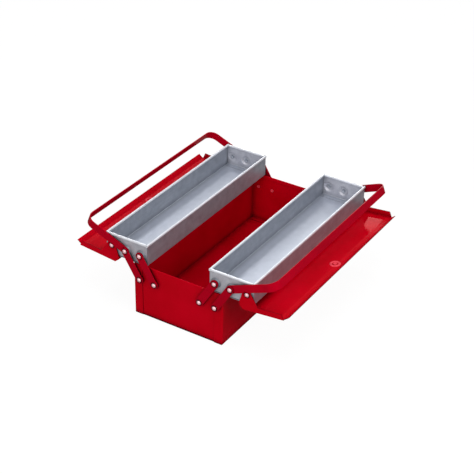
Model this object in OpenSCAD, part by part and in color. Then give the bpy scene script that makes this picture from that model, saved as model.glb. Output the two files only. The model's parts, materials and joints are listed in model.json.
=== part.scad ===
// Three-part cantilever tool box of folded sheet steel, shown open.
// A deep bottom box carries two long trays on pairs of flat levers. Each tray
// carries a lid, which folds out below it, and a flat strap handle.
// X runs across the box, Y along it and Z up. The origin is the centre of the
// underside of the box.

/* [Box] */
// Width of the box over its side walls
box_w = 200; // [180:1:240]
// Length of the box over its end walls
box_l = 430; // [320:5:560]
// Height of the box from the table to its rim
box_h = 112; // [95:1:150]
// Thickness of the sheet in the box and the lids
sheet = 1; // [0.8:0.1:1.4]
// Inner radius of the bends in the box and the lids
bend_r = 1.5; // [0.5:0.1:2.5]
// Height of the folded hem on the rim of the box
hem_h = 8; // [5:0.5:12]
// Width of the flanges that the side walls turn round the end panels
return_w = 19; // [12:1:24]
// Width of the foot flange of an end panel or a tray end
foot_w = 12; // [8:1:20]

/* [Trays] */
// Height of a tray over its rim
tray_h = 47; // [40:1:60]
// Thickness of the tray sheet
tray_sheet = 1; // [0.8:0.1:1.4]
// Inner radius of the bends in a tray
tray_bend_r = 1.5; // [0.5:0.1:2.5]
// Gap between the two trays when the box is shut
tray_gap = 6; // [4:0.5:10]
// Gap between the underside of a tray and the rim of the box
tray_lift = 0.5; // [0.4:0.1:2]
// Distance that the end wall of a tray stands back from the end of the box
tray_set_back = 2; // [1.6:0.1:3]
// Height of the rolled rim of a tray
rim_h = 5; // [4:0.5:7]
// Thickness of the rolled rim of a tray
rim_t = 4; // [3:0.2:4.8]
// Distance that the rolled rim stands out from the tray wall
rim_out = 1.2; // [0.8:0.1:1.4]
// Radius of a pressed boss at its foot
boss_foot_r = 11; // [9.5:0.5:13]
// Radius of the flat top of a pressed boss
boss_top_r = 7.5; // [6:0.5:9]

/* [Levers] */
// Distance between the two pivots of a lever
lever_len = 61.8; // [58:0.2:72]
// Width of a lever
lever_w = 16; // [13:0.5:18]
// Thickness of a lever
lever_t = 2; // [1.5:0.1:3]
// Depth of the lower pivots below the rim of the box
pivot_drop = 31; // [26:0.5:33]
// Height of the pivots above the underside of a tray
tray_pivot_h = 21; // [17:0.5:24]
// Distance from the inner edge of a tray to the pivot of its inner levers
inner_inset = 15.3; // [13:0.1:18]
// Distance from the side wall of the box to the pivot of the outer levers
outer_inset = 15.5; // [14:0.1:17]
// Distance from the outer edge of a tray to the pivot of its lid
lid_inset = 14.5; // [13:0.1:16]

/* [Lids] */
// Height of the outer face of the lid over its pivots when shut
lid_rise = 34; // [32:0.5:48]
// Depth of the end flanges of a lid
lid_flange_h = 12; // [8:0.5:16]
// Gap between the two lids when the box is shut
lid_gap = 3; // [2:0.5:5]
// Distance that the skirt of a shut lid stands out over the tray
lid_overhang = 3.7; // [2.5:0.1:6]
// Width and height of the bevel along the outer edge of a lid
outer_bevel = 8.8; // [5:0.1:10]
// Width of the bevel along the seam edge of a lid
seam_bevel_w = 10; // [7:0.5:14]
// Fall of the bevel along the seam edge of a lid
seam_bevel_h = 6.5; // [3:0.5:7]
// Distance that the seam bevel stops short of each end of a lid
seam_notch = 3.8; // [3:0.1:8]
// Angle of an opened lid above level, outer edge low and seam edge high
lid_tilt = 5.5; // [3:0.5:8]
// Radius of the ear round the lid pivot
ear_r = 9.5; // [8:0.5:10.5]
// Reach of the ear towards the seam where it meets the end flange
ear_shoulder = 22; // [16:0.5:30]

/* [Handles] */
// Distance from the handle pivot to the outer face of the grip
handle_reach = 102; // [92:0.5:112]
// Width of the handle strap
handle_w = 16; // [12:0.5:18]
// Thickness of the handle strap
handle_t = 2; // [1.5:0.1:3]
// Inner radius of the bends of the handle
handle_bend_r = 18; // [8:0.5:24]

/* [Rivets] */
// Radius of the shank of a rivet
rivet_r = 2.5; // [2:0.1:3]
// Radius of the domed head of a rivet
head_r = 4.3; // [4:0.1:4.8]
// Height of the domed head of a rivet
head_h = 2.6; // [1.8:0.1:3]
// Radius of the closed inner end of a rivet
tail_r = 3.8; // [3.4:0.1:4.4]
// Height of the closed inner end of a rivet
tail_h = 1.2; // [0.8:0.1:1.6]
// Radius of the spacers that carry the levers clear of the walls
spacer_r = 7; // [5.5:0.5:7.5]

/* [Latch] */
// Width of the latch strip
latch_w = 14; // [12:0.5:16]
// Thickness of the latch strip and its keeper
latch_t = 1.5; // [1:0.1:2]
// Width of the keeper
keeper_w = 18; // [14:0.5:24]
// Distance from the seam bevel's bend to the rivet of the latch or the keeper
latch_rivet_gap = 12.5; // [12:0.5:18]
// Radius of the ring pressed round the rivet of the latch or the keeper
ring_r = 8.6; // [7.5:0.1:9.5]
// Width of the ring pressed round the rivet of the latch or the keeper
ring_w = 4.6; // [3.6:0.2:5]
// Height of the ring pressed round the rivet of the latch or the keeper
ring_h = 1.4; // [0.6:0.1:1.6]

/* [Clearances] */
// Gap between faces that slide over each other
run_gap = 0.3; // [0.2:0.05:0.4]
// Radial gap between a rivet and what turns on it
pin_gap = 0.1; // [0.05:0.01:0.15]
// Gap between pieces that are joined but lie side by side
fit_gap = 0.1; // [0.05:0.01:0.2]

/* [Hidden] */

RIGHT = 1;
LEFT = -1;
FRONT = -1;
BACK = 1;
$fn = 48;
// Flat steps in a bend of a quarter turn
BEND_STEPS = 6;
// Overrun of a cutting tool past a face
CUT = 1;

red = "#b80f18";
dark_red = "#a00c16";
steel_grey = "#a9afb8";
bright_steel = "#d7d9de";

// Layers at each end of the box, as distances from its middle along Y
box_end = box_l / 2;
tray_end = box_end - tray_set_back;
ear_in = tray_end + rim_out + 2 * run_gap;
ear_out = ear_in + sheet;
handle_in = ear_out + run_gap;
handle_out = handle_in + handle_t;
lever_in = handle_out + run_gap;
lever_out = lever_in + lever_t;
head_seat = lever_out + run_gap;

// Linkage of one side, as seen from the front, with the tray swung out
tray_w = box_w / 2 - tray_gap / 2;
lower_pivot_z = box_h - pivot_drop;
tray_z = box_h + tray_lift;
upper_pivot_z = tray_z + tray_pivot_h;
lever_rise = upper_pivot_z - lower_pivot_z;
lever_run = sqrt(lever_len * lever_len - lever_rise * lever_rise);
lever_angle = atan2(lever_rise, lever_run);
tray_x = tray_gap / 2 + 2 * lever_run;
inner_pivot_x = tray_gap / 2 + lever_run + inner_inset;
outer_pivot_x = box_w / 2 - outer_inset;
inner_upper_x = inner_pivot_x + lever_run;
outer_upper_x = outer_pivot_x + lever_run;
lid_pivot_x = tray_x + tray_w - lid_inset;

// Lid, measured from its pivot when shut: x outwards, z up
shut_lid_pivot_x = box_w / 2 - lid_inset;
skirt_x = box_w / 2 + lid_overhang - shut_lid_pivot_x;
seam_x = lid_gap / 2 - shut_lid_pivot_x;
lid_open_angle = 180 - lid_tilt;
skirt_tip_z = (tray_pivot_h + run_gap - (skirt_x - sheet) * sin(lid_tilt)) / cos(lid_tilt);
flange_z = lid_rise - lid_flange_h;
flange_end_x = seam_x + seam_bevel_w;
flange_slant = 3.5;

// The handle rests on the side of the lid rivet's head
handle_angle = asin((handle_w / 2 + head_r + run_gap) / (lid_pivot_x - outer_upper_x));

// Latch on the right lid and keeper on the left lid, measured like the lids
latch_rivet_x = flange_end_x + latch_rivet_gap;
latch_lap = 1;
latch_reach = latch_rivet_gap + 2 * seam_bevel_w + lid_gap + latch_lap;
keeper_foot_x = latch_rivet_x + keeper_w / 2;
keeper_step = latch_t + 2 * run_gap;
keeper_step_x = flange_end_x + latch_lap + latch_t + run_gap;
keeper_tip_x = seam_x + lid_gap / 2;

// Unit vector, its left normal and the signed turn between two directions
function unit(v) = v / norm(v);
function left_of(v) = [-v.y, v.x];
function turn(a, b) = atan2(a.x * b.y - a.y * b.x, a.x * b.x + a.y * b.y);
function turned(v, a) = [v.x * cos(a) - v.y * sin(a), v.x * sin(a) + v.y * cos(a)];

// One face of a folded sheet that lies on the left of its path. Depth 0 is
// the face on the path and depth t is the other face.
function sheet_face(path, t, r, depth) = [
    for (i = [0:len(path) - 1]) each
        i == 0 ? [path[0] + left_of(unit(path[1] - path[0])) * depth] :
        i == len(path) - 1 ? [path[i] + left_of(unit(path[i] - path[i - 1])) * depth] :
        bend_face(path[i - 1], path[i], path[i + 1], t, r, depth)
];
function bend_face(a, b, c, t, r, depth) =
    let (
        u = unit(b - a),
        angle = turn(u, unit(c - b)),
        s = sign(angle),
        path_r = s > 0 ? r + t : r,
        centre = b - u * path_r * tan(abs(angle) / 2) + left_of(u) * s * path_r,
        spoke = -left_of(u) * s * (path_r - s * depth),
        steps = max(2, ceil(BEND_STEPS * abs(angle) / 90))
    )
    [for (k = [0:steps]) centre + turned(spoke, angle * k / steps)];
function reversed(list) = [for (i = [len(list) - 1:-1:0]) list[i]];

// Points along an arc about a centre
function arc(centre, r, from, to, steps) =
    [for (k = [0:steps]) let (a = from + (to - from) * k / steps) centre + r * [cos(a), sin(a)]];

// Direction from the centre of a circle to where a line from p touches it
function touch_angle(p, r, s) = atan2(p.y, p.x) + s * acos(r / norm(p));

// Cross-section of a folded sheet, thickness t, inner bend radius r
module folded_section(path, t, r) {
    polygon(concat(sheet_face(path, t, r, 0), reversed(sheet_face(path, t, r, t))));
}

// Upright bar with a half-round top, as a hemmed edge seen end-on
module hem_section(t, h) {
    polygon(concat([[0, 0], [t, 0]], arc([t / 2, h - t / 2], t / 2, 0, 180, 2 * BEND_STEPS)));
}

// Rolled rim of a tray seen end-on, standing on the middle of its height
module rim_section() {
    translate([rim_t / 2, 0]) rounded_rectangle(rim_t, rim_h, rim_t / 2 - fit_gap);
}

// Rectangle with rounded corners, centred
module rounded_rectangle(w, l, r) {
    polygon([
        for (q = [0:3]) let (
            sx = q == 0 || q == 3 ? 1 : -1,
            sy = q < 2 ? 1 : -1
        ) each arc([sx * (w / 2 - r), sy * (l / 2 - r)], r, 90 * q, 90 * q + 90, BEND_STEPS)
    ]);
}

// Extrudes an X-Z section along Y from one distance to another
module along_y(from, to) {
    translate([0, to, 0]) rotate([90, 0, 0]) linear_extrude(to - from) children();
}

// Extrudes a Y-Z section along X from one distance to another
module along_x(from, to) {
    translate([from, 0, 0]) rotate([90, 0, 90]) linear_extrude(to - from) children();
}

// Puts a piece modelled for the right side, or for the back end, in its place
module on_side(side) {
    if (side == RIGHT) children();
    else mirror([1, 0, 0]) children();
}
module at_end(end) {
    if (end == BACK) children();
    else mirror([0, 1, 0]) children();
}
module at_both_ends() {
    for (end = [FRONT, BACK]) at_end(end) children();
}

// Round bar along Y at a pivot of the back end
module bar_y(x, z, r, from, to) {
    translate([x, to, z]) rotate([90, 0, 0]) cylinder(h = to - from, r = r);
}

// Pressed boss on the back end: a cone from its foot to its flat top
module boss_cone(x, z, from, to) {
    translate([x, from, z]) rotate([-90, 0, 0]) cylinder(h = to - from, r1 = boss_foot_r, r2 = boss_top_r);
}

// Rivet along Z: closed end below zero, shank up to the seat, domed head above
module rivet(length) {
    dome_r = (head_r * head_r + head_h * head_h) / (2 * head_h);
    translate([0, 0, -tail_h]) cylinder(h = tail_h, r = tail_r);
    cylinder(h = length, r = rivet_r);
    translate([0, 0, length]) intersection() {
        translate([0, 0, head_h - dome_r]) sphere(dome_r);
        cylinder(h = head_h, r = head_r);
    }
}

// Rivet of the back end, from the inner face that it closes on to its seat
module end_rivet(x, z, from, to) {
    translate([x, from, z]) rotate([-90, 0, 0]) rivet(to - from);
}

// Spacer round a rivet of the back end
module spacer(x, z, from, to) {
    difference() {
        bar_y(x, z, spacer_r, from, to);
        bar_y(x, z, rivet_r + fit_gap, from - CUT, to + CUT);
    }
}

// Solid block with the rounded lower and upright edges of the folded box
module box_block(inset) {
    r = bend_r + sheet - inset;
    w = box_w - 2 * inset;
    l = box_l - 2 * inset;
    intersection() {
        translate([0, 0, inset]) linear_extrude(box_h + CUT) rounded_rectangle(w, l, r);
        along_y(-box_l, box_l) translate([0, box_h + inset]) rounded_rectangle(w, 2 * box_h, r);
    }
}

// Bottom and side walls from one sheet, with flanges turned round the ends
module body_shell() {
    color(red) {
        difference() {
            box_block(0);
            box_block(sheet);
            translate([-box_w, -box_l, box_h]) cube([2 * box_w, 2 * box_l, 2 * CUT]);
            for (end = [FRONT, BACK]) at_end(end) {
                translate([-box_w / 2 + return_w, box_end - sheet, -CUT])
                    cube([box_w - 2 * return_w, 2 * sheet, box_h + 2 * CUT]);
                for (x = [-outer_pivot_x, outer_pivot_x])
                    bar_y(x, lower_pivot_z, rivet_r + fit_gap, box_end - 2 * sheet, box_end + CUT);
            }
        }
        for (side = [RIGHT, LEFT]) on_side(side)
            translate([box_w / 2 - 2 * sheet, 0, box_h - hem_h])
                along_y(-box_end + 3 * sheet + fit_gap, box_end - 3 * sheet - fit_gap)
                    hem_section(2 * sheet, hem_h);
    }
}

// Flat end wall with a hemmed rim and a foot flange on the bottom sheet
module end_panel(end) {
    half = box_w / 2 - sheet - fit_gap;
    face = box_end - sheet;
    color(red) at_end(end) difference() {
        union() {
            intersection() {
                along_x(-half, half)
                    folded_section([[face - foot_w, sheet], [face, sheet], [face, box_h - sheet]],
                        sheet, bend_r);
                box_block(sheet);
            }
            along_x(-half + sheet, half - sheet) translate([face - 2 * sheet, box_h - hem_h])
                hem_section(2 * sheet, hem_h);
        }
        for (side = [RIGHT, LEFT], x = [inner_pivot_x, outer_pivot_x])
            bar_y(side * x, lower_pivot_z, rivet_r + fit_gap, face - 2 * sheet, face + CUT);
    }
}

// Rivets that carry the four pairs of levers
module body_pivot_rivets() {
    color(bright_steel) at_both_ends()
        for (side = [RIGHT, LEFT], x = [inner_pivot_x, outer_pivot_x])
            end_rivet(side * x, lower_pivot_z, box_end - 2 * sheet, head_seat);
}

// Spacers between the end walls and the levers
module body_pivot_spacers() {
    color(bright_steel) at_both_ends() for (side = [RIGHT, LEFT]) {
        spacer(side * inner_pivot_x, lower_pivot_z, box_end - sheet, lever_in - run_gap);
        spacer(side * outer_pivot_x, lower_pivot_z, box_end, lever_in - run_gap);
    }
}

// Flat strap with round ends and a pivot hole in each
module lever(side, end, foot_x) {
    color(dark_red) on_side(side) at_end(end)
        translate([foot_x, lever_in, lower_pivot_z]) rotate([-90, 0, 0]) rotate(-lever_angle)
            linear_extrude(lever_t) difference() {
                union() {
                    circle(r = lever_w / 2);
                    translate([0, -lever_w / 2]) square([lever_len, lever_w]);
                    translate([lever_len, 0]) circle(r = lever_w / 2);
                }
                circle(r = rivet_r + pin_gap);
                translate([lever_len, 0]) circle(r = rivet_r + pin_gap);
            }
}

// Bottom and long walls of a tray from one sheet, with rolled rims
module tray_pan(side) {
    wall_top = tray_h - rim_h / 2;
    color(steel_grey) on_side(side) translate([tray_x, 0, tray_z]) {
        along_y(-tray_end, tray_end) folded_section(
            [[rim_out, wall_top], [rim_out, 0], [tray_w - rim_out, 0], [tray_w - rim_out, wall_top]],
            tray_sheet, tray_bend_r);
        for (x = [0, tray_w - rim_t])
            translate([x, 0, wall_top]) along_y(-tray_end - rim_out, tray_end + rim_out) rim_section();
    }
}

// End wall of a tray with a rolled rim and a pressed boss round each pivot
module tray_end_wall(side, end) {
    edge = rim_out + tray_sheet + fit_gap;
    wall = [[tray_end - foot_w, tray_sheet], [tray_end, tray_sheet], [tray_end, tray_h - rim_h / 2]];
    rim_edge = rim_t + fit_gap;
    color(steel_grey) on_side(side) at_end(end) difference() {
        union() {
            translate([tray_x, 0, tray_z]) {
                intersection() {
                    along_x(edge, tray_w - edge) folded_section(wall, tray_sheet, tray_bend_r);
                    along_y(0, box_l) difference() {
                        translate([tray_w / 2, tray_h + tray_sheet])
                            rounded_rectangle(tray_w - 2 * (edge - fit_gap), 2 * tray_h, tray_bend_r);
                        for (x = [0, tray_w - rim_edge])
                            translate([x, tray_h - rim_h - fit_gap]) square([rim_edge, rim_h + CUT]);
                    }
                }
                along_x(rim_edge, tray_w - rim_edge)
                    translate([tray_end + rim_out - rim_t, tray_h - rim_h / 2]) rim_section();
            }
            for (b = tray_bosses()) boss_cone(b[0], upper_pivot_z, tray_end - tray_sheet / 2, b[1]);
        }
        for (b = tray_bosses()) {
            boss_cone(b[0], upper_pivot_z, tray_end - tray_sheet, b[1] - tray_sheet);
            bar_y(b[0], upper_pivot_z, boss_foot_r, tray_end - 2 * tray_sheet, tray_end - tray_sheet);
            bar_y(b[0], upper_pivot_z, rivet_r + fit_gap, tray_end - tray_sheet, lever_in);
        }
    }
}

// Place of each boss across the box, and how far out its top lies
function tray_bosses() = [
    [inner_upper_x, handle_in - run_gap],
    [outer_upper_x, handle_in - run_gap],
    [lid_pivot_x, ear_in - run_gap]
];

// Rivets of the tray that its levers and its handle turn on
module tray_rivets(side) {
    color(bright_steel) on_side(side) at_both_ends()
        for (x = [inner_upper_x, outer_upper_x])
            end_rivet(x, upper_pivot_z, handle_in - run_gap - tray_sheet, head_seat);
}

// Spacers on the inner rivets, as thick as the handle that the outer ones carry
module tray_spacers(side) {
    color(bright_steel) on_side(side) at_both_ends()
        spacer(inner_upper_x, upper_pivot_z, handle_in - run_gap, lever_in - run_gap);
}

// Rivets of the tray that its lid turns on
module lid_rivets(side) {
    color(bright_steel) on_side(side) at_both_ends()
        end_rivet(lid_pivot_x, upper_pivot_z, ear_in - run_gap - tray_sheet, ear_out + run_gap);
}

// Moves a piece measured from the shut lid's pivot to its opened place
module on_open_lid(side) {
    on_side(side) translate([lid_pivot_x, 0, upper_pivot_z]) rotate([0, lid_open_angle, 0]) children();
}

// Outline of a lid's end flange with the ear round its pivot
module lid_end_outline() {
    shoulder = [-ear_shoulder, flange_z];
    tip = [skirt_x, skirt_tip_z];
    ear_from = touch_angle(shoulder, ear_r, 1);
    ear_to = 360 + touch_angle(tip, ear_r, -1);
    polygon(concat(
        [tip, [skirt_x, lid_rise - outer_bevel], [skirt_x - outer_bevel, lid_rise], [flange_end_x, lid_rise],
            [flange_end_x + flange_slant, flange_z], shoulder],
        arc([0, 0], ear_r, ear_from, ear_to, 2 * BEND_STEPS)
    ));
}

// Lid half: bevelled plate with a skirt outside, end flanges and ears
module lid(side) {
    plate = [[skirt_x, skirt_tip_z], [skirt_x, lid_rise - outer_bevel], [skirt_x - outer_bevel, lid_rise],
        [flange_end_x, lid_rise], [seam_x, lid_rise - seam_bevel_h]];
    color(red) on_open_lid(side) difference() {
        union() {
            intersection() {
                union() {
                    along_y(-ear_in, ear_in) folded_section(plate, sheet, bend_r);
                    at_both_ends() along_y(ear_in, ear_out) lid_end_outline();
                }
                lid_bends();
            }
            pressed_ring(lid_rise - sheet, sheet / 2);
        }
        at_both_ends() {
            bar_y(0, 0, rivet_r + pin_gap, ear_in - CUT, ear_out + CUT);
            translate([seam_x - CUT, ear_out - seam_notch, lid_rise - lid_flange_h])
                cube([seam_bevel_w + CUT, 2 * seam_notch, 2 * lid_flange_h]);
        }
        pressed_ring(lid_rise, CUT);
        translate([latch_rivet_x, 0, flange_z]) cylinder(h = lid_flange_h + CUT, r = rivet_r + fit_gap);
    }
}

// Block with the rounded bends between a lid's plate and its end flanges
module lid_bends() {
    intersection() {
        along_x(seam_x - CUT, skirt_x + CUT) translate([0, lid_rise - box_h])
            rounded_rectangle(2 * ear_out, 2 * box_h, bend_r);
        translate([0, 0, -box_h]) linear_extrude(2 * box_h) translate([skirt_x - box_w, 0])
            rounded_rectangle(2 * box_w, 2 * ear_out, bend_r);
    }
}

// Ring pressed inwards from a face round the rivet of the latch or the
// keeper. A collar joins it to the face.
module pressed_ring(face, collar) {
    half = ring_w / 2;
    translate([latch_rivet_x, 0, face]) rotate_extrude() translate([ring_r, 0])
        polygon([[-half, collar], [-half, 0], [ring_h - half, -ring_h], [half - ring_h, -ring_h],
            [half, 0], [half, collar]]);
}

// Flat strap bent to a U, with round ends on the outer lever rivets
module handle(side) {
    out = handle_out;
    path = [[0, -out], [handle_reach, -out], [handle_reach, out], [0, out]];
    color(dark_red) on_side(side) translate([outer_upper_x, 0, upper_pivot_z]) rotate([0, -handle_angle, 0])
        difference() {
            union() {
                translate([0, 0, -handle_w / 2]) linear_extrude(handle_w)
                    folded_section(path, handle_t, handle_bend_r);
                at_both_ends() bar_y(0, 0, handle_w / 2, handle_in, handle_out);
            }
            at_both_ends() bar_y(0, 0, rivet_r + pin_gap, handle_in - CUT, handle_out + CUT);
        }
}

// Flat strip that turns on its rivet to reach over the seam. It is parked
// along the right lid.
module lid_latch() {
    end_y = latch_reach - latch_w / 2;
    color(bright_steel) on_open_lid(RIGHT) translate([latch_rivet_x, 0, lid_rise + run_gap])
        linear_extrude(latch_t) difference() {
            union() {
                circle(r = latch_w / 2);
                translate([-latch_w / 2, 0]) square([latch_w, end_y]);
                translate([0, end_y]) circle(r = latch_w / 2);
            }
            circle(r = rivet_r + pin_gap);
        }
}

// Stepped strip on the left lid that the tip of the turned latch slides under
module lid_keeper() {
    top = lid_rise + latch_t;
    path = [[keeper_foot_x, top], [keeper_step_x + keeper_step, top],
        [keeper_step_x, top + keeper_step], [keeper_tip_x, top + keeper_step]];
    color(bright_steel) on_open_lid(LEFT) difference() {
        along_y(-keeper_w / 2, keeper_w / 2) folded_section(path, latch_t, bend_r / 2);
        translate([latch_rivet_x, 0, lid_rise - CUT]) cylinder(h = latch_t + 2 * CUT, r = rivet_r + fit_gap);
    }
}

// Rivet through the lid in its pressed ring, closed inside the lid
module seat_rivet(side, stack) {
    color(bright_steel) on_open_lid(side)
        translate([latch_rivet_x, 0, lid_rise - sheet]) rivet(sheet + stack);
}

body_shell();
end_panel(FRONT);  // front_end_panel
end_panel(BACK);  // back_end_panel
body_pivot_rivets();
body_pivot_spacers();
lever(RIGHT, FRONT, outer_pivot_x);  // right_outer_lever_front
lever(RIGHT, BACK, outer_pivot_x);  // right_outer_lever_back
lever(RIGHT, FRONT, inner_pivot_x);  // right_inner_lever_front
lever(RIGHT, BACK, inner_pivot_x);  // right_inner_lever_back
tray_pan(RIGHT);  // right_tray_pan
tray_end_wall(RIGHT, FRONT);  // right_tray_end_front
tray_end_wall(RIGHT, BACK);  // right_tray_end_back
tray_rivets(RIGHT);  // right_tray_rivets
tray_spacers(RIGHT);  // right_tray_spacers
lid(RIGHT);  // right_lid
lid_rivets(RIGHT);  // right_lid_rivets
handle(RIGHT);  // right_handle
lever(LEFT, FRONT, outer_pivot_x);  // left_outer_lever_front
lever(LEFT, BACK, outer_pivot_x);  // left_outer_lever_back
lever(LEFT, FRONT, inner_pivot_x);  // left_inner_lever_front
lever(LEFT, BACK, inner_pivot_x);  // left_inner_lever_back
tray_pan(LEFT);  // left_tray_pan
tray_end_wall(LEFT, FRONT);  // left_tray_end_front
tray_end_wall(LEFT, BACK);  // left_tray_end_back
tray_rivets(LEFT);  // left_tray_rivets
tray_spacers(LEFT);  // left_tray_spacers
lid(LEFT);  // left_lid
lid_rivets(LEFT);  // left_lid_rivets
handle(LEFT);  // left_handle
lid_latch();
seat_rivet(RIGHT, latch_t + 2 * run_gap);  // lid_latch_rivet
lid_keeper();
seat_rivet(LEFT, latch_t);  // lid_keeper_rivet
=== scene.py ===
"""Finishes, fine shapes, studio and camera for a cantilever tool box of folded sheet steel."""

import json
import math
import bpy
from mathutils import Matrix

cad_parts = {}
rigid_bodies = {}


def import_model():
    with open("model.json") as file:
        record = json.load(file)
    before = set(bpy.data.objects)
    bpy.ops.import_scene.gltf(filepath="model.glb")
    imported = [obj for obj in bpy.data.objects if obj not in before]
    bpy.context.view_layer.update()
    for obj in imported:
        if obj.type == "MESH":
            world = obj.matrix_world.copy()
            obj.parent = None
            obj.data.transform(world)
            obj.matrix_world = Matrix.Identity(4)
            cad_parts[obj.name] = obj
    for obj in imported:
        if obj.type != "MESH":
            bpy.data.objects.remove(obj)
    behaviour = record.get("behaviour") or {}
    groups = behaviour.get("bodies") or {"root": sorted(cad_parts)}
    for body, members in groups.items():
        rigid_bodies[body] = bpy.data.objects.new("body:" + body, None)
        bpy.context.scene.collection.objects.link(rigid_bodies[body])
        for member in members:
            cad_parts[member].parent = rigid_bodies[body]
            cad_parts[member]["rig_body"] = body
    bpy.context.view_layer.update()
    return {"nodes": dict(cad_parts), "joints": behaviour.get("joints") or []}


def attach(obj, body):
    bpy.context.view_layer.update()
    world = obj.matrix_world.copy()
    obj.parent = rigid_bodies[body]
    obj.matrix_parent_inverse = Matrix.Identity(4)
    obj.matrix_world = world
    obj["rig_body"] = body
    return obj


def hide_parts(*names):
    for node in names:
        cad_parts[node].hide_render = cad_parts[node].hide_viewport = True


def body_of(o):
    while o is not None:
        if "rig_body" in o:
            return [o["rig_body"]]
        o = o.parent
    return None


bl_info = {
    "name": "Cantilever Tool Box",
    "version": (1, 0, 0),
    "blender": (4, 5, 0),
    "location": "View3D > Sidebar > Tool Box",
    "description": "Finishes the sheet steel, rivets, levers and handles of a cantilever tool box",
    "category": "Add Mesh",
}

import bmesh
import bpy
from mathutils import Matrix, Vector

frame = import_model()
MM = 0.001
SIDES = ("right", "left")
PANELS = ("body_shell", "front_end_panel", "back_end_panel")

# Width of the picture in pixels, and width of the camera's sensor in millimetres
IMAGE_SIZE = 474
SENSOR = 36.0

# Points closer than this are one point, on a copy of a CAD node and on a turned rivet
MERGE = 0.001 * MM
TURNED_MERGE = 0.002 * MM

# Facets that turn less than this lie in one flat, and a rounded edge has this many facets
FLAT_TURN = math.radians(0.5)
EDGE_SEGMENTS = 3

# The sheet was cut at a face that is narrower than this on average, where at least this
# share of its outline is an edge that turns more than this
CUT_WIDTH = 1.3 * MM
CUT_SHARE = 0.7
CUT_TURN = math.radians(60)

# A turned rivet: facets round it and up its dome, height of the edge of its head, angles
# along the curl of its tail in degrees, and the largest turn that is shaded as one bend
TURN_STEPS = 32
DOME_STEPS = 8
HEAD_RIM = 0.3 * MM
CURL_ANGLES = (180, 140, 100, 60, 30, 0, -40, -90)
RIVET_SMOOTH = math.radians(40)

# The end wall of a tray: its flat is larger than this, a boss stands out of it by more than
# this, and its foot lies at least this far under the rim and faces up by this or more
WALL_AREA = 800.0 * MM ** 2
BOSS_RISE = 0.2 * MM
FOOT_DROP = 30.0 * MM
FOOT_FACING = 0.7

# Sockets of a Mix node that mixes colours
MIX_FACTOR, MIX_A, MIX_B, MIX_RESULT = 0, 6, 7, 2

# A noise texture seldom leaves this range
NOISE_RANGE = (0.3, 0.7)

# Painted shade reaches this far out of a corner. Round a rivet a painted ring of shade
# fades between these radii, and painted shade fades over the foot of the box between these
# heights. The lids rub their enamel matt between these distances from the middle plane.
CORNER_SHADE_REACH = 14.0 * MM
RIVET_SHADE_RING = (4.6 * MM, 8.4 * MM)
FOOT_SHADE = (0.5 * MM, 4.0 * MM)
SEAM_BAND = (216.0 * MM, 220.0 * MM)

# Upward part of the normal, from the bend of a wall to a level floor
BEND_TO_FLOOR = (0.5, 1.0)

# Strength of the sky at its horizon and straight overhead, and the upward part of a ray
# between which the white backdrop ends
SKY_STRENGTH = (0.14, 0.4)
BACKDROP_END = (0.67, 0.72)

# The floor lies just under the box. The camera sees this share of it as plain white, of
# this strength, and the rest as lit paper.
FLOOR_SIZE = 14.0
FLOOR_GAP = 0.2 * MM
WHITE_SHARE = 0.8
WHITE_STRENGTH = 1.18

# The place that the round softboxes shine at, and the name, place, width and watts of each
LIT_PLACE = Vector((0.0, 0.0, 0.1))
SOFTBOXES = (
    ("overhead_softbox", (0.25, -0.3, 1.9), 1.4, 14.0),
    ("right_softbox", (1.5, -0.5, 1.1), 1.2, 12.5),
    ("front_softbox", (0.3, -2.2, 0.8), 1.2, 19.0),
    ("back_softbox", (-2.8, 4.9, 1.75), 2.1, 55.0),
    ("high_back_softbox", (-2.2, 2.7, 4.6), 1.2, 58.0),
)


# ---------------------------------------------------------------- settings


class ToolBoxSizes(bpy.types.PropertyGroup):
    """Fine sizes that the sheet metal gets on top of its main shape"""

    sheet_edge: bpy.props.FloatProperty(
        name="Sheet edge", description="Rounding of the cut edges of the sheet",
        default=0.3 * MM, min=0.05 * MM, max=0.5 * MM, unit="LENGTH")
    strap_edge: bpy.props.FloatProperty(
        name="Strap edge", description="Rounding of the edges of the levers and the handles",
        default=0.8 * MM, min=0.1 * MM, max=0.95 * MM, unit="LENGTH")
    # The band gets a painted highlight
    rim_height: bpy.props.FloatProperty(
        name="Rim height",
        description="Height of the burnished band on the rolled rims of the trays",
        default=5.1 * MM, min=1 * MM, max=8 * MM, unit="LENGTH")
    rivet_head: bpy.props.FloatProperty(
        name="Rivet head", description="Height of the domed head of a rivet",
        default=2.6 * MM, min=1 * MM, max=4 * MM, unit="LENGTH")
    rivet_tail: bpy.props.FloatProperty(
        name="Rivet tail", description="Height of the rolled tail of a rivet",
        default=1.2 * MM, min=0.5 * MM, max=2 * MM, unit="LENGTH")
    rivet_shank: bpy.props.FloatProperty(
        name="Rivet shank", description="Radius of the shank of a rivet",
        default=2.5 * MM, min=1 * MM, max=4 * MM, unit="LENGTH")
    ring_inside: bpy.props.FloatProperty(
        name="Ring inside", description="Inner radius of the ring pressed round a latch rivet",
        default=6.0 * MM, min=1 * MM, max=20 * MM, unit="LENGTH")
    ring_outside: bpy.props.FloatProperty(
        name="Ring outside", description="Outer radius of the ring pressed round a latch rivet",
        default=11.3 * MM, min=1 * MM, max=20 * MM, unit="LENGTH")
    smooth_angle: bpy.props.FloatProperty(
        name="Smooth angle", description="Largest angle between facets that are shaded as one bend",
        default=math.radians(32), subtype="ANGLE")


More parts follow.
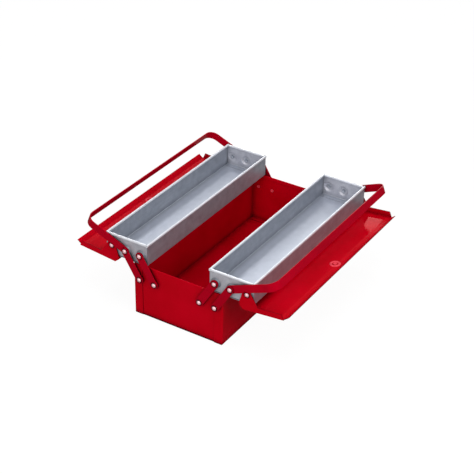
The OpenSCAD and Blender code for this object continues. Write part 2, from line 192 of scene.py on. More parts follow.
class ToolBoxColours(bpy.types.PropertyGroup):
    """Colours of the finishes, as sRGB hex values"""

    enamel: bpy.props.StringProperty(
        name="Enamel", description="Red of the box and its lids", default="#c8001a")
    strap_enamel: bpy.props.StringProperty(
        name="Strap enamel", description="Red of the levers and the handles", default="#b8001e")
    zinc: bpy.props.StringProperty(
        name="Zinc", description="Zinc-plated sheet of the trays", default="#aaaeb8")
    # Painted light: the tray ends get a paler copy of the tray zinc so that they look more lit
    zinc_ends: bpy.props.StringProperty(
        name="Zinc ends", description="Paler zinc-plated sheet of the tray ends",
        default="#cacad1")
    # Painted highlight: the pale zinc of the rolled rims of the trays
    rim: bpy.props.StringProperty(
        name="Rims", description="Rolled rims of the trays, burnished by the rolling",
        default="#e2e4ea")
    # Painted highlight: the pale red of the rings round the latch rivets and of the rivet tails on
    # red sheet
    rubbed: bpy.props.StringProperty(
        name="Rubbed enamel", description="Enamel rubbed pale on the rings round the latch rivets",
        default="#ee5866")
    # Painted shade: the darker zinc of the bosses on the tray ends
    dull_zinc: bpy.props.StringProperty(
        name="Rubbed zinc", description="Zinc that the levers have rubbed dull",
        default="#7c8088")
    # Painted shade: the dark red of the narrow faces where the sheet was cut
    thin: bpy.props.StringProperty(
        name="Thin enamel", description="Enamel that ran thin and dark at the cut edges",
        default="#5a000c")
    # Painted shade: the dark red that the enamel turns to in corners, round rivet heads and at the
    # foot of the box
    painted_shade: bpy.props.StringProperty(
        name="Enamel grime", description="Dirty enamel in corners and round rivet heads",
        default="#2a0006")
    # Painted shade: the dark zinc that the tray sheet turns to in corners
    zinc_painted_shade: bpy.props.StringProperty(
        name="Zinc grime", description="Dirty zinc in corners", default="#6c7078")
    # Painted highlight: the paler zinc that the tray floors, facing up, turn half way to
    scuffed: bpy.props.StringProperty(
        name="Scuffed zinc", description="Tray floor scuffed pale by tools", default="#d6dcea")
    # The pink tint of the rivets is a painted reflection of the red enamel round them
    rivet: bpy.props.StringProperty(
        name="Rivets", description="Bright zinc-plated rivets", default="#ffd4d8")
    floor: bpy.props.StringProperty(
        name="Floor", description="Pale studio floor", default="#a4a4a4")


class ToolBoxStudio(bpy.types.PropertyGroup):
    """Camera and lamps"""

    azimuth: bpy.props.FloatProperty(
        name="Azimuth", description="Direction of the camera round the box, from its front end",
        default=math.radians(31.65), subtype="ANGLE")
    elevation: bpy.props.FloatProperty(
        name="Elevation", description="Height of the camera over the floor, as an angle",
        default=math.radians(31.77), subtype="ANGLE")
    roll: bpy.props.FloatProperty(
        name="Roll", description="Turn of the camera about its own axis",
        default=math.radians(-1.13), subtype="ANGLE")
    focal_pixels: bpy.props.FloatProperty(
        name="Focal length", description="Focal length of the camera in image pixels",
        default=1276.85)
    place: bpy.props.FloatVectorProperty(
        name="Place", description="Place of the camera",
        default=(1124.5 * MM, -1832.6 * MM, 1423.9 * MM), subtype="TRANSLATION")


class ToolBoxSettings(bpy.types.PropertyGroup):
    """All settings of the tool box"""

    sizes: bpy.props.PointerProperty(type=ToolBoxSizes)
    colours: bpy.props.PointerProperty(type=ToolBoxColours)
    studio: bpy.props.PointerProperty(type=ToolBoxStudio)


def settings():
    """The settings that the sidebar shows."""
    return bpy.context.scene.tool_box


# --------------------------------------------------------------- materials


def linear(hex_colour):
    """Linear RGBA of an sRGB hex value, opaque."""
    channels = [int(hex_colour[i:i + 2], 16) / 255 for i in (1, 3, 5)]
    return (*(c / 12.92 if c <= 0.04045 else ((c + 0.055) / 1.055) ** 2.4 for c in channels), 1.0)


def add_node(tree, kind, links=None, values=None, **attributes):
    """Adds a node with its attributes, socket values and incoming links."""
    node = tree.nodes.new(kind)
    for name, value in attributes.items():
        setattr(node, name, value)
    for name, value in (values or {}).items():
        node.inputs[name].default_value = value
    for name, output in (links or {}).items():
        tree.links.new(output, node.inputs[name])
    return node


def new_material(name):
    """An empty node material and its tree."""
    material = bpy.data.materials.new(name)
    material.use_nodes = True
    material.node_tree.nodes.clear()
    return material, material.node_tree


def mottled(tree, dark_hex, hex_colour, pattern):
    """Colour that a pattern from 0 to 1 varies between two hex values."""
    mix = add_node(tree, "ShaderNodeMix", {MIX_FACTOR: pattern},
                   {MIX_A: linear(dark_hex), MIX_B: linear(hex_colour)}, data_type="RGBA")
    return mix.outputs[MIX_RESULT]


def with_painted_light(tree, painted_hex, colour, unpainted):
    """Colour that turns to a painted shade or painted highlight colour where the mask is below 1.
    """
    mix = add_node(tree, "ShaderNodeMix", {MIX_FACTOR: unpainted, MIX_B: colour},
                   {MIX_A: linear(painted_hex)}, data_type="RGBA")
    return mix.outputs[MIX_RESULT]


def varied(tree, noise, low, high):
    """A value that varies from low to high with a noise texture."""
    noise_low, noise_high = NOISE_RANGE
    return add_node(tree, "ShaderNodeMapRange", {"Value": noise.outputs["Fac"]}, {
        "From Min": noise_low, "From Max": noise_high,
        "To Min": low, "To Max": high}).outputs["Result"]


def out_of_corner_shade(tree):
    """1 on a surface in the open, less near a corner, where shade is painted."""
    corner = add_node(tree, "ShaderNodeAmbientOcclusion", values={"Distance": CORNER_SHADE_REACH},
                      samples=16)
    return add_node(tree, "ShaderNodeMapRange", {"Value": corner.outputs["AO"]}, {
        "From Min": 0.3, "From Max": 0.95, "To Min": 0.3, "To Max": 1.0}).outputs["Result"]


def from_middle(tree, place):
    """Distance from the upright plane between the two halves of the box, and the height."""
    parts = add_node(tree, "ShaderNodeSeparateXYZ", {"Vector": place}).outputs
    half = add_node(tree, "ShaderNodeMath", {0: parts["X"]}, operation="ABSOLUTE")
    return half.outputs["Value"], parts["Z"]


def rivet_places():
    """Distance from the middle plane and height of each rivet on the right half of the box."""
    spots = {joint["name"]: Vector((joint["pos_m"][0], 0.0, joint["pos_m"][2]))
             for joint in frame["joints"]}
    lower, upper = spots["right_lever_swing"], spots["right_handle_turn"]
    inner = spots["right_inner_lever_swing"]
    return [lower, upper, inner, inner + upper - lower, spots["right_lid_turn"]]


def rubbed_seam(tree, place):
    """Roughness that the two lids rub into each other along the seam where they meet."""
    half, _ = from_middle(tree, place)
    start, end = SEAM_BAND
    return add_node(tree, "ShaderNodeMapRange", {"Value": half}, {
        "From Min": start, "From Max": end, "To Min": 0.0, "To Max": 0.35}).outputs["Result"]


def out_of_painted_shade(tree, place):
    """1 on enamel out of painted shade, less where shade is painted: in corners, in a ring round
    the head of a rivet, on the outside only, and along the foot of the box."""
    half, height = from_middle(tree, place)
    normal = add_node(tree, "ShaderNodeNewGeometry").outputs["Normal"]
    facing = add_node(tree, "ShaderNodeSeparateXYZ", {"Vector": normal}).outputs

    start, end = FOOT_SHADE
    # Painted shade along the foot of the box, on all but upward faces
    foot = add_node(tree, "ShaderNodeMapRange", {"Value": height}, {
        "From Min": start, "From Max": end, "To Min": 0.35, "To Max": 1.0})
    foot = add_node(tree, "ShaderNodeMath", {0: foot.outputs["Result"], 1: facing["Z"]},
                    operation="MAXIMUM")
    unshaded = add_node(tree, "ShaderNodeMath", {0: out_of_corner_shade(tree), 1: foot.outputs["Value"]},
                     operation="MULTIPLY")

    along = add_node(tree, "ShaderNodeSeparateXYZ", {"Vector": place}).outputs["Y"]
    end_sign = add_node(tree, "ShaderNodeMath", {0: along}, operation="SIGN")
    outward = add_node(tree, "ShaderNodeMath", {0: end_sign.outputs["Value"], 1: facing["Y"]},
                       operation="MULTIPLY")
    inward = add_node(tree, "ShaderNodeMath", {0: outward.outputs["Value"]}, {1: -1.0},
                      operation="MULTIPLY")

    # A painted ring of shade round each rivet head, on outward faces only
    side_view = add_node(tree, "ShaderNodeCombineXYZ", {"X": half, "Z": height})
    start, end = RIVET_SHADE_RING
    for rivet in rivet_places():
        reach = add_node(tree, "ShaderNodeVectorMath", {0: side_view.outputs["Vector"]},
                         {1: rivet}, operation="DISTANCE")
        ring = add_node(tree, "ShaderNodeMapRange", {"Value": reach.outputs["Value"]}, {
            "From Min": start, "From Max": end, "To Min": 0.0, "To Max": 1.0})
        ring = add_node(tree, "ShaderNodeMath", {
            0: ring.outputs["Result"], 1: inward.outputs["Value"]}, operation="MAXIMUM")
        unshaded = add_node(tree, "ShaderNodeMath", {
            0: unshaded.outputs["Value"], 1: ring.outputs["Value"]}, operation="MULTIPLY")
    return unshaded.outputs["Value"]


def stove_enamel(name, colour, deep_colour, roughness, paint_shade=True):
    """Alkyd stove enamel sprayed on sheet steel: a deep red whose gloss is red too. The
    spray leaves a shallow orange peel about 2 mm across and slow drifts in the gloss. It is
    matt where the lids rub, and a painted shade darkens it in corners, round rivet heads and
    at the foot of the box."""
    material, tree = new_material(name)
    place = add_node(tree, "ShaderNodeTexCoord").outputs["Object"]
    drift = add_node(tree, "ShaderNodeTexNoise", {"Vector": place}, {"Scale": 14.0, "Detail": 3.0})
    peel = add_node(tree, "ShaderNodeTexNoise", {"Vector": place}, {"Scale": 520.0, "Detail": 2.0})
    enamel = mottled(tree, deep_colour, colour, varied(tree, drift, 0.0, 1.0))
    # Painted shade darkens the enamel in corners, round rivet heads and at the foot of the box
    if paint_shade:
        enamel = with_painted_light(tree, settings().colours.painted_shade, enamel, out_of_painted_shade(tree, place))
    gloss = varied(tree, drift, roughness - 0.03, roughness + 0.04)
    gloss = add_node(tree, "ShaderNodeMath", {0: gloss, 1: rubbed_seam(tree, place)},
                     operation="ADD").outputs["Value"]
    bump = add_node(tree, "ShaderNodeBump", {"Height": peel.outputs["Fac"]},
                    {"Strength": 0.05, "Distance": 0.1 * MM})
    surface = add_node(
        tree, "ShaderNodeBsdfPrincipled",
        {"Base Color": enamel, "Roughness": gloss, "Normal": bump.outputs["Normal"]},
        {"IOR": 1.5, "Specular IOR Level": 0.02, "Metallic": 0.06})
    add_node(tree, "ShaderNodeOutputMaterial", {"Surface": surface.outputs["BSDF"]})
    return material


def from_wall_to_floor(tree, on_wall, on_floor):
    """A value that changes over the bend between a wall and a floor."""
    normal = add_node(tree, "ShaderNodeNewGeometry").outputs["Normal"]
    upward = add_node(tree, "ShaderNodeSeparateXYZ", {"Vector": normal}).outputs["Z"]
    start, end = BEND_TO_FLOOR
    return add_node(tree, "ShaderNodeMapRange", {"Value": upward}, {
        "From Min": start, "From Max": end,
        "To Min": on_wall, "To Max": on_floor}).outputs["Result"]


def zinc_plated_sheet(name, colour, dark_colour, floor_highlight_colour, metal, roughness):
    """Zinc-plated thin sheet, gone satin grey: the plating is mottled in patches of 10 to
    20 mm, speckled with crystals of 1 to 2 mm, and faintly lined along the tray by the
    rolling of the sheet. Tools that slide on a floor scuff it glossier than the walls; a
    painted highlight makes a floor paler, and painted shade darkens the corners."""
    material, tree = new_material(name)
    place = add_node(tree, "ShaderNodeTexCoord").outputs["Object"]
    along = add_node(tree, "ShaderNodeMapping", {"Vector": place}, {"Scale": (1.0, 0.05, 1.0)})
    lines = add_node(tree, "ShaderNodeTexNoise", {"Vector": along.outputs["Vector"]},
                     {"Scale": 300.0, "Detail": 2.0})
    patches = add_node(tree, "ShaderNodeTexNoise", {"Vector": place},
                       {"Scale": 70.0, "Detail": 3.0})
    crystals = add_node(tree, "ShaderNodeTexNoise", {"Vector": place},
                        {"Scale": 600.0, "Detail": 3.0, "Roughness": 0.7})
    coarse = add_node(tree, "ShaderNodeMix", {
        "A": patches.outputs["Fac"], "B": lines.outputs["Fac"]}, {"Factor": 0.3})
    mottle = add_node(tree, "ShaderNodeMix", {
        "A": coarse.outputs["Result"], "B": crystals.outputs["Fac"]}, {"Factor": 0.4})
    pattern = add_node(tree, "ShaderNodeMapRange", {"Value": mottle.outputs["Result"]}, {
        "From Min": 0.38, "From Max": 0.62, "To Min": 0.0, "To Max": 1.0}).outputs["Result"]
    zinc = mottled(tree, dark_colour, colour, pattern)
    # Painted highlight: a floor, facing up, is half way paler than a wall
    zinc = with_painted_light(tree, floor_highlight_colour, zinc, from_wall_to_floor(tree, 1.0, 0.5))
    # Painted shade darkens the zinc in corners
    zinc = with_painted_light(tree, settings().colours.zinc_painted_shade, zinc, out_of_corner_shade(tree))
    satin = add_node(tree, "ShaderNodeMath", {
        0: varied(tree, patches, roughness - 0.03, roughness + 0.03),
        1: from_wall_to_floor(tree, 0.12, 0.0)}, operation="ADD")
    bump = add_node(tree, "ShaderNodeBump", {"Height": mottle.outputs["Result"]},
                    {"Strength": 0.12, "Distance": 0.2 * MM})
    surface = add_node(
        tree, "ShaderNodeBsdfPrincipled",
        {"Base Color": zinc, "Roughness": satin.outputs["Value"],
         "Normal": bump.outputs["Normal"]},
        {"Metallic": metal})
    add_node(tree, "ShaderNodeOutputMaterial", {"Surface": surface.outputs["BSDF"]})
    return material


def headed_zinc(name, colour, dark_colour, metal, roughness):
    """Zinc plating on small cold-headed parts, lightly scuffed by the setting tool in
    marks of 1 to 2 mm."""
    material, tree = new_material(name)
    place = add_node(tree, "ShaderNodeTexCoord").outputs["Object"]
    scuffs = add_node(tree, "ShaderNodeTexNoise", {"Vector": place},
                      {"Scale": 700.0, "Detail": 3.0})
    bump = add_node(tree, "ShaderNodeBump", {"Height": scuffs.outputs["Fac"]},
                    {"Strength": 0.15, "Distance": 0.1 * MM})
    surface = add_node(
        tree, "ShaderNodeBsdfPrincipled",
        {"Base Color": mottled(tree, dark_colour, colour, varied(tree, scuffs, 0.0, 1.0)),
         "Roughness": varied(tree, scuffs, roughness - 0.08, roughness + 0.08),
         "Normal": bump.outputs["Normal"]},
        {"Metallic": metal})
    add_node(tree, "ShaderNodeOutputMaterial", {"Surface": surface.outputs["BSDF"]})
    return material


def seen_directly(tree, backdrop):
    """1 for camera rays, the backdrop for glossy and transmission rays, 0 for the rays that
    carry light."""
    path = add_node(tree, "ShaderNodeLightPath")
    mirrored = add_node(tree, "ShaderNodeMath", {
        0: path.outputs["Is Glossy Ray"], 1: path.outputs["Is Transmission Ray"]},
        operation="MAXIMUM")
    behind = add_node(tree, "ShaderNodeMath", {0: mirrored.outputs["Value"], 1: backdrop},
                      operation="MULTIPLY")
    return add_node(tree, "ShaderNodeMath", {
        0: path.outputs["Is Camera Ray"], 1: behind.outputs["Value"]},
        operation="MAXIMUM").outputs["Value"]


def pale_floor(name, colour):
    """Matt white paper sweep: it is seen white, with the faint shadow of the box."""
    material, tree = new_material(name)
    paper = add_node(tree, "ShaderNodeBsdfDiffuse", values={"Color": linear(colour)})
    white = add_node(tree, "ShaderNodeEmission",
                     values={"Color": linear("#ffffff"), "Strength": WHITE_STRENGTH})
    seen = add_node(tree, "ShaderNodeLightPath").outputs["Is Camera Ray"]
    share = add_node(tree, "ShaderNodeMath", {0: seen}, {1: WHITE_SHARE}, operation="MULTIPLY")
    surface = add_node(tree, "ShaderNodeMixShader", {
        0: share.outputs["Value"], 1: paper.outputs["BSDF"], 2: white.outputs["Emission"]})
    add_node(tree, "ShaderNodeOutputMaterial", {"Surface": surface.outputs["Shader"]})
    return material


# How each finish is made: its name, then its colours, metallic share and roughness
RECIPES = {
    "stove_enamel": lambda name, colours: stove_enamel(name, colours.enamel, "#b80012", 0.1),
    "strap_enamel": lambda name, colours: stove_enamel(
        name, colours.strap_enamel, "#a6001a", 0.2),
    # A painted highlight on the latch rings and on rivet tails
    "rubbed_enamel": lambda name, colours: stove_enamel(
        name, colours.rubbed, "#d83444", 0.3, paint_shade=False),
    # A painted shade for the cut edges of the sheet
    "thin_enamel": lambda name, colours: stove_enamel(name, colours.thin, "#3c0008", 0.4),
    "zinc_plated_sheet": lambda name, colours: zinc_plated_sheet(
        name, colours.zinc, "#9096a0", colours.scuffed, 0.6, 0.33),
    # A paler copy of the tray zinc, painted lighter for the tray ends
    "zinc_plated_ends": lambda name, colours: zinc_plated_sheet(
        name, colours.zinc_ends, "#b0b0ba", colours.zinc_ends, 0.45, 0.32),
    # A painted highlight on the rolled rims
    "burnished_rim": lambda name, colours: zinc_plated_sheet(
        name, colours.rim, "#d8dbe2", colours.rim, 0.25, 0.3),
    # Pink as a painted reflection of the red enamel
    "bright_zinc": lambda name, colours: headed_zinc(name, colours.rivet, "#e4b0b8", 0.35, 0.4),
    # A painted shade on the bosses of the tray ends
    "dull_zinc": lambda name, colours: headed_zinc(name, colours.dull_zinc, "#666a72", 0.3, 0.5),
    "pale_floor": lambda name, colours: pale_floor(name, colours.floor),
}
FINISHES = {}


def finish(name):
    """The finish of that name, made when it is first asked for."""
    if name not in FINISHES:
        FINISHES[name] = RECIPES[name](name, settings().colours)
    return FINISHES[name]


def paint(piece, *names):
    """Gives a piece the first finish all over, with the others ready for its marked faces."""
    piece.data.materials.clear()
    for name in names:
        piece.data.materials.append(finish(name))


# ---------------------------------------------------------------- modelling


def pick(piece):
    """Makes a piece the only selected and active object."""
    bpy.ops.object.select_all(action="DESELECT")
    piece.select_set(True)
    bpy.context.view_layer.objects.active = piece


def softened(node, width, *finishes):
    """A merged copy of a CAD node with rounded edges, smooth bends and true flats."""
    smooth_angle = settings().sizes.smooth_angle
    piece = bpy.data.objects.new(f"{node}_shape", frame["nodes"][node].data.copy())
    bpy.context.scene.collection.objects.link(piece)
    pick(piece)
    paint(piece, *finishes)
    bpy.ops.object.mode_set(mode="EDIT")
    bpy.ops.mesh.select_all(action="SELECT")
    bpy.ops.mesh.remove_doubles(threshold=MERGE)
    bpy.ops.mesh.dissolve_limited(angle_limit=FLAT_TURN)
    bpy.ops.object.mode_set(mode="OBJECT")
    # Painted shade on the narrow cut faces of the sheet
    if "thin_enamel" in finishes:
        shade_cut_edges(piece)
    bevel = piece.modifiers.new("edges", "BEVEL")
    bevel.width = width
    bevel.segments = EDGE_SEGMENTS
    bevel.limit_method = "ANGLE"
    bevel.angle_limit = smooth_angle
    bpy.ops.object.modifier_apply(modifier=bevel.name)
    bpy.ops.object.shade_smooth_by_angle(angle=smooth_angle)
    flats = piece.modifiers.new("flats", "WEIGHTED_NORMAL")
    flats.keep_sharp = True
    bpy.ops.object.modifier_apply(modifier=flats.name)
    stand_for(piece, node)
    return piece


def shade_cut_edges(piece):
    """Gives the narrow faces where the sheet was cut the second finish, a painted shade."""
    sheet = bmesh.new()
    sheet.from_mesh(piece.data)
    for polygon, face in zip(piece.data.polygons, sheet.faces):
        outline = sum(edge.calc_length() for edge in face.edges)
        sharp = sum(edge.calc_length() for edge in face.edges if edge.calc_face_angle(0) > CUT_TURN)
        narrow = 2 * face.calc_area() / outline < CUT_WIDTH
        polygon.material_index = int(narrow and sharp > CUT_SHARE * outline)
    sheet.free()


def stand_for(piece, node):
    """Puts a piece in the place of a CAD node, on the body that carries that node."""
    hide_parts(node)
    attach(piece, body_of(frame["nodes"][node])[0])


def highlight_rim(piece):
    """Gives the top band of a tray sheet the second finish, a painted highlight on the rolled rim.
    """
    top = max(vertex.co.z for vertex in piece.data.vertices)
    for polygon in piece.data.polygons:
        if polygon.center.z > top - settings().sizes.rim_height:
            polygon.material_index = 1


def shade_bosses(piece):
    """Gives the bosses pressed out of the end wall of a tray the third finish, a painted shade."""
    walls = [polygon for polygon in piece.data.polygons if polygon.area > WALL_AREA]
    wall = max(abs(polygon.center.y) for polygon in walls)
    for polygon in piece.data.polygons:
        out = polygon.center.y * math.copysign(1.0, polygon.normal.y)
        if out > wall + BOSS_RISE and polygon.material_index == 0:
            polygon.material_index = 2


def match_foot(piece):
    """Gives the foot that the end wall of a tray stands on the fourth finish, of the pan."""
    top = max(vertex.co.z for vertex in piece.data.vertices)
    for polygon in piece.data.polygons:
        if polygon.normal.z > FOOT_FACING and polygon.center.z < top - FOOT_DROP:
            polygon.material_index = 3


def latch_centre(side):
    """Middle and direction of the rivet of the latch, or of the keeper on the left lid."""
    latch = next(joint for joint in frame["joints"] if joint["name"] == "latch_turn")
    mirror = -1.0 if side == "left" else 1.0
    centre, axis = Vector(latch["pos_m"]), Vector(latch["axis"]).normalized()
    centre.x, axis.x = centre.x * mirror, axis.x * mirror
    return centre, axis


def highlight_ring(piece):
    """Gives the ring pressed round the latch rivet of a lid the third finish, a painted highlight.
    """
    sizes = settings().sizes
    centre, axis = latch_centre("left" if piece.name.startswith("left") else "right")
    for polygon in piece.data.polygons:
        arms = [piece.data.vertices[i].co - centre for i in polygon.vertices]
        radii = [(arm - axis * arm.dot(axis)).length for arm in arms]
        if min(radii) > sizes.ring_inside and max(radii) < sizes.ring_outside:
            polygon.material_index = 2


def solids_of(node):
    """The corner points of each separate solid of a CAD node."""
    piece = bpy.data.objects.new("solids", frame["nodes"][node].data.copy())
    bpy.context.scene.collection.objects.link(piece)
    pick(piece)
    bpy.ops.object.mode_set(mode="EDIT")
    bpy.ops.mesh.select_all(action="SELECT")
    bpy.ops.mesh.remove_doubles(threshold=MERGE)
    bpy.ops.mesh.separate(type="LOOSE")
    bpy.ops.object.mode_set(mode="OBJECT")
    parts = list(bpy.context.selected_objects)
    corners = [[vertex.co.copy() for vertex in part.data.vertices] for part in parts]
    for part in parts:
        bpy.data.objects.remove(part)
    return corners


def rivet_profile(length, reach):
    """Half section of a semi-tubular rivet as (radius, height) pairs: a rolled tail with a
    crater, the shank, and a domed head of the given reach."""
    sizes = settings().sizes
    head, tail, shank = sizes.rivet_head, sizes.rivet_tail, sizes.rivet_shank
    seat = length - head
    crater = [(0.0, 1.7 * tail), (0.4 * shank, 1.6 * tail), (0.5 * shank, tail)]
    lip = 1.5 * shank
    curl = [(lip - 0.4 * tail * (1 - math.cos(a)), 0.5 * tail * (1 - math.sin(a)))
            for a in map(math.radians, CURL_ANGLES)]
    rim = [(reach - 0.2 * MM, seat), (reach, seat + 0.15 * MM)]
    rise = head - HEAD_RIM
    dome_radius = (reach ** 2 + rise ** 2) / (2 * rise)
    centre = length - dome_radius
    half_angle = math.asin(reach / dome_radius)
    turns = [half_angle * k / DOME_STEPS for k in range(DOME_STEPS, -1, -1)]
    dome = [(dome_radius * math.sin(a), centre + dome_radius * math.cos(a)) for a in turns]
    return [*crater, *curl, (shank, tail), (shank, seat), *rim, *dome]


def turned_rivet(node, corners, axis, tail_finish):
    """A rivet in the place of one solid, turned about the axis that points to its head."""
    heights = [corner.dot(axis) for corner in corners]
    low, high = min(heights), max(heights)
    flat = [corner - axis * corner.dot(axis) for corner in corners]
    middle = Vector([(min(v[i] for v in flat) + max(v[i] for v in flat)) / 2 for i in range(3)])
    middle -= axis * middle.dot(axis)
    reach = max((v - middle).length for v in flat)
    side = axis.orthogonal().normalized()
    foot = middle + axis * low
    points = [foot + side * r + axis * t for r, t in rivet_profile(high - low, reach)]
    mesh = bpy.data.meshes.new(f"{node}_turned")
    mesh.from_pydata(points, [(i, i + 1) for i in range(len(points) - 1)], [])
    piece = bpy.data.objects.new(f"{node}_turned", mesh)
    bpy.context.scene.collection.objects.link(piece)
    pick(piece)
    bpy.ops.object.mode_set(mode="EDIT")
    bpy.ops.mesh.select_all(action="SELECT")
    bpy.ops.mesh.spin(steps=TURN_STEPS, angle=math.tau, center=foot, axis=axis)
    bpy.ops.mesh.select_all(action="SELECT")
    bpy.ops.mesh.remove_doubles(threshold=TURNED_MERGE)
    bpy.ops.mesh.normals_make_consistent(inside=False)
    bpy.ops.object.mode_set(mode="OBJECT")
    paint(piece, "bright_zinc", tail_finish)
    tail_end = low + 2 * settings().sizes.rivet_tail
    for polygon in piece.data.polygons:
        polygon.material_index = int(polygon.center.dot(axis) < tail_end)
    return piece


def outwards(corners):
    """Direction from the middle of the box to the end that a solid lies at."""
    return Vector((0.0, math.copysign(1.0, sum(corner.y for corner in corners)), 0.0))


def rivets(node, axis_of, tail_finish):
    """Turned rivets in the place of each solid of a node. The tails get the given finish: the
    tray zinc, or a pale red enamel that paints a highlight on them."""
    made = [turned_rivet(node, corners, axis_of(corners), tail_finish)
            for corners in solids_of(node)]
    bpy.ops.object.select_all(action="DESELECT")
    for piece in made:
        piece.select_set(True)
    bpy.context.view_layer.objects.active = made[0]
    if len(made) > 1:
        bpy.ops.object.join()
    bpy.ops.object.shade_smooth_by_angle(angle=RIVET_SMOOTH)
    made[0].name = f"{node}_shape"
    stand_for(made[0], node)


# ---------------------------------------------------------------- operators


class TOOLBOX_OT_stage(bpy.types.Operator):
    """Adds the floor, the lamps, the sky and the camera"""

    bl_idname = "toolbox.stage"
    bl_label = "Stage"

    def execute(self, context):
        context.scene.view_settings.view_transform = "Standard"
        bpy.ops.mesh.primitive_plane_add(size=FLOOR_SIZE, location=(0, 0, -FLOOR_GAP))
        floor = context.object
        floor.name = "floor"
        floor.data.materials.append(finish("pale_floor"))
        self.add_sky(context.scene)
        for softbox in SOFTBOXES:
            self.add_softbox(*softbox)
        self.add_camera(context.scene, settings().studio)
        return {"FINISHED"}

    def add_sky(self, scene):
        """A bright ceiling over a dimmer horizon. The camera sees plain white, and so do metal
        and gloss up to the top of the backdrop, 42 to 46 degrees above the floor."""
        world = bpy.data.worlds.new("studio")
        world.use_nodes = True
        tree = world.node_tree
        tree.nodes.clear()
        way = add_node(tree, "ShaderNodeTexCoord").outputs["Generated"]
        height = add_node(tree, "ShaderNodeSeparateXYZ", {"Vector": way}).outputs["Z"]
        horizon, ceiling = SKY_STRENGTH
        level = add_node(tree, "ShaderNodeMapRange", {"Value": height}, {
            "From Min": 0.0, "From Max": 1.0, "To Min": horizon, "To Max": ceiling})
        start, end = BACKDROP_END
        backdrop = add_node(tree, "ShaderNodeMapRange", {"Value": height}, {
            "From Min": start, "From Max": end, "To Min": 1.0, "To Max": 0.0})
        strength = add_node(tree, "ShaderNodeMath", {
            0: seen_directly(tree, backdrop.outputs["Result"]), 1: level.outputs["Result"]},
            operation="MAXIMUM")
        light = add_node(tree, "ShaderNodeBackground", {"Strength": strength.outputs["Value"]},
                         {"Color": linear("#ffffff")})
        add_node(tree, "ShaderNodeOutputWorld", {"Surface": light.outputs["Background"]})
        scene.world = world

    def add_softbox(self, name, place, width, watts):
        """A round lamp that shines at the box."""
        bpy.ops.object.light_add(type="AREA", location=place)
        lamp = bpy.context.object
        lamp.name = name
        lamp.data.shape = "DISK"
        lamp.data.size = width
        lamp.data.energy = watts
        lamp.rotation_mode = "QUATERNION"
        lamp.rotation_quaternion = (LIT_PLACE - Vector(place)).to_track_quat("-Z", "Y")

    def add_camera(self, scene, studio):
        """Looks along the azimuth and elevation, turned by the roll."""
        az, el, roll = studio.azimuth, studio.elevation, studio.roll
        forward = Vector((-math.sin(az) * math.cos(el), math.cos(az) * math.cos(el), -math.sin(el)))
        level = Vector((math.cos(az), math.sin(az), 0.0))
        down = forward.cross(level)
        right = math.cos(roll) * level + math.sin(roll) * down
        up = math.sin(roll) * level - math.cos(roll) * down
        bpy.ops.object.camera_add()
        camera = bpy.context.object
        camera.name = "camera"
        camera.data.sensor_width = SENSOR
        camera.data.lens = studio.focal_pixels / IMAGE_SIZE * SENSOR
        camera.matrix_world = Matrix.Translation(studio.place) @ Matrix(
            (right, up, -forward)).transposed().to_4x4()
        scene.camera = camera


class TOOLBOX_OT_bottom_box(bpy.types.Operator):
    """Finishes the folded bottom box and its end panels"""

    bl_idname = "toolbox.bottom_box"
    bl_label = "Bottom box"

    def execute(self, context):
        for node in PANELS:
            softened(node, settings().sizes.sheet_edge, "stove_enamel", "thin_enamel")
        return {"FINISHED"}


class TOOLBOX_OT_trays(bpy.types.Operator):
    """Finishes the trays"""

    bl_idname = "toolbox.trays"
    bl_label = "Trays"

    def execute(self, context):
        edge = settings().sizes.sheet_edge
        for side in SIDES:
            highlight_rim(softened(f"{side}_tray_pan", edge, "zinc_plated_sheet", "burnished_rim"))
            for end in ("front", "back"):
                wall = softened(f"{side}_tray_end_{end}", edge, "zinc_plated_ends",
                                "burnished_rim", "dull_zinc", "zinc_plated_sheet")
                highlight_rim(wall)
                shade_bosses(wall)
                match_foot(wall)
        return {"FINISHED"}


class TOOLBOX_OT_lids(bpy.types.Operator):
    """Finishes the lids"""

    bl_idname = "toolbox.lids"
    bl_label = "Lids"

    def execute(self, context):
        for side in SIDES:
            highlight_ring(softened(f"{side}_lid", settings().sizes.sheet_edge,
                              "stove_enamel", "thin_enamel", "rubbed_enamel"))
        return {"FINISHED"}


class TOOLBOX_OT_straps(bpy.types.Operator):
    """Finishes the levers and the handles"""

    bl_idname = "toolbox.straps"
    bl_label = "Levers and handles"

    def execute(self, context):
        for side in SIDES:
            for part in ("outer_lever_front", "outer_lever_back", "inner_lever_front",
                         "inner_lever_back", "handle"):
                softened(f"{side}_{part}", settings().sizes.strap_edge, "strap_enamel")
        return {"FINISHED"}


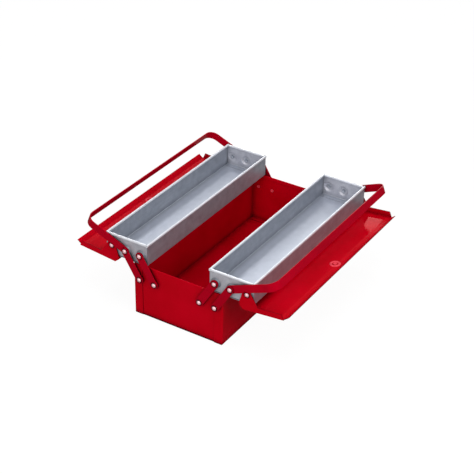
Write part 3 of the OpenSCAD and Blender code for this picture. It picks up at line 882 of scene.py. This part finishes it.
class TOOLBOX_OT_fasteners(bpy.types.Operator):
    """Finishes the rivets, the spacers, the latch and the keeper"""

    bl_idname = "toolbox.fasteners"
    bl_label = "Rivets and latch"

    def execute(self, context):
        for node in list(frame["nodes"]):
            # Rivet tails on red sheet get the pale red of a painted highlight
            if node == "lid_latch_rivet":
                rivets(node, lambda corners: latch_centre("right")[1], "rubbed_enamel")
            elif node == "lid_keeper_rivet":
                rivets(node, lambda corners: latch_centre("left")[1], "rubbed_enamel")
            elif node == "body_pivot_rivets":
                rivets(node, outwards, "rubbed_enamel")
            elif "rivets" in node:
                rivets(node, outwards, "zinc_plated_sheet")
            elif "spacers" in node:
                softened(node, settings().sizes.sheet_edge, "strap_enamel")
            elif node in ("lid_latch", "lid_keeper"):
                softened(node, settings().sizes.sheet_edge, "zinc_plated_ends")
        return {"FINISHED"}


class TOOLBOX_PT_panel(bpy.types.Panel):
    """Shows the settings of the tool box and lists its steps"""

    bl_label = "Tool Box"
    bl_idname = "TOOLBOX_PT_panel"
    bl_space_type = "VIEW_3D"
    bl_region_type = "UI"
    bl_category = "Tool Box"

    def draw(self, context):
        for group in ("sizes", "colours", "studio"):
            box = self.layout.box()
            values = getattr(settings(), group)
            for name in values.bl_rna.properties.keys():
                if name not in ("name", "rna_type"):
                    box.prop(values, name)
        for step in STEPS:
            self.layout.operator(step.bl_idname)


# In the order that they run in
STEPS = (
    TOOLBOX_OT_stage,
    TOOLBOX_OT_bottom_box,
    TOOLBOX_OT_trays,
    TOOLBOX_OT_lids,
    TOOLBOX_OT_straps,
    TOOLBOX_OT_fasteners,
)
CLASSES = (ToolBoxSizes, ToolBoxColours, ToolBoxStudio, ToolBoxSettings, *STEPS, TOOLBOX_PT_panel)


def register():
    for cls in CLASSES:
        bpy.utils.register_class(cls)
    bpy.types.Scene.tool_box = bpy.props.PointerProperty(type=ToolBoxSettings)


def unregister():
    del bpy.types.Scene.tool_box
    for cls in reversed(CLASSES):
        bpy.utils.unregister_class(cls)


def main():
    """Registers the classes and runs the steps."""
    register()
    for step in STEPS:
        group, name = step.bl_idname.split(".")
        getattr(getattr(bpy.ops, group), name)()


if __name__ == "__main__":
    main()
